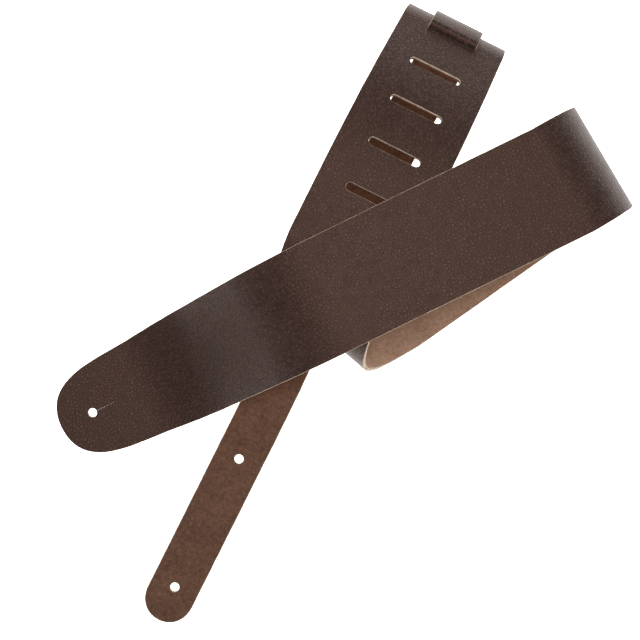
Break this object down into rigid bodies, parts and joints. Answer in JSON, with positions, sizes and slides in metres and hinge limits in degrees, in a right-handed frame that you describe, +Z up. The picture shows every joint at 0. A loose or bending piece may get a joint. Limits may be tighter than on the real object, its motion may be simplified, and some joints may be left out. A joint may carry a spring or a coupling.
{
  "type": "guitar strap",
  "caption": "Leather guitar strap folded twice and laid flat: wide body strap with cross slots, and a narrow tail strap woven through the end slots.",
  "frame": {"origin": "middle of the folded strap's footprint, on the table it lies on", "axes": "+Y along the tail strap towards the slotted end, +X across the tail strap towards the fold on the right, +Z up from the table"},
  "size_m": [0.2214, 0.351, 0.0609],
  "materials": {
    "grain_leather": "dark espresso brown pebbled grain, satin",
    "suede_leather": "brown suede flesh side, matt"
  },
  "bodies": {
    "body_strap": {"return_section": "suede_leather", "right_fold_lower": "grain_leather", "lower_bend_under": "suede_leather", "lower_bend_over": "grain_leather", "slotted_section": "grain_leather", "slotted_curve": "grain_leather", "slotted_end": "grain_leather"},
    "front": {"right_fold_upper": "grain_leather", "front_section": "grain_leather", "front_rise": "grain_leather"},
    "front_tip": {"front_end": "grain_leather"},
    "tail_strap": {"tail_run": "suede_leather", "tail_loop": "grain_leather"},
    "tail_tip": {"tail_end": "suede_leather"}
  },
  "joints": [
    {"name": "right_fold_opening", "type": "hinge", "parent": "body_strap", "child": "front", "pos_m": [0.08662, 0.14268, 0.03045], "axis": [-0.8406, 0.5417, 0], "range_deg": [0, 120]},
    {"name": "front_end_flex", "type": "hinge", "parent": "front", "child": "front_tip", "pos_m": [-0.07446, -0.07207, 0.0023], "axis": [-0.7955, 0.606, 0], "range_deg": [0, 60]},
    {"name": "tail_slack", "type": "slide", "parent": "body_strap", "child": "tail_strap", "axis": [0, 1, 0], "range_m": [-0.0003, 0.0003]},
    {"name": "tail_end_flex", "type": "hinge", "parent": "tail_strap", "child": "tail_tip", "pos_m": [-0.00955, -0.05653, 0.0021], "axis": [-1, 0, 0], "range_deg": [0, 70]}
  ]
}
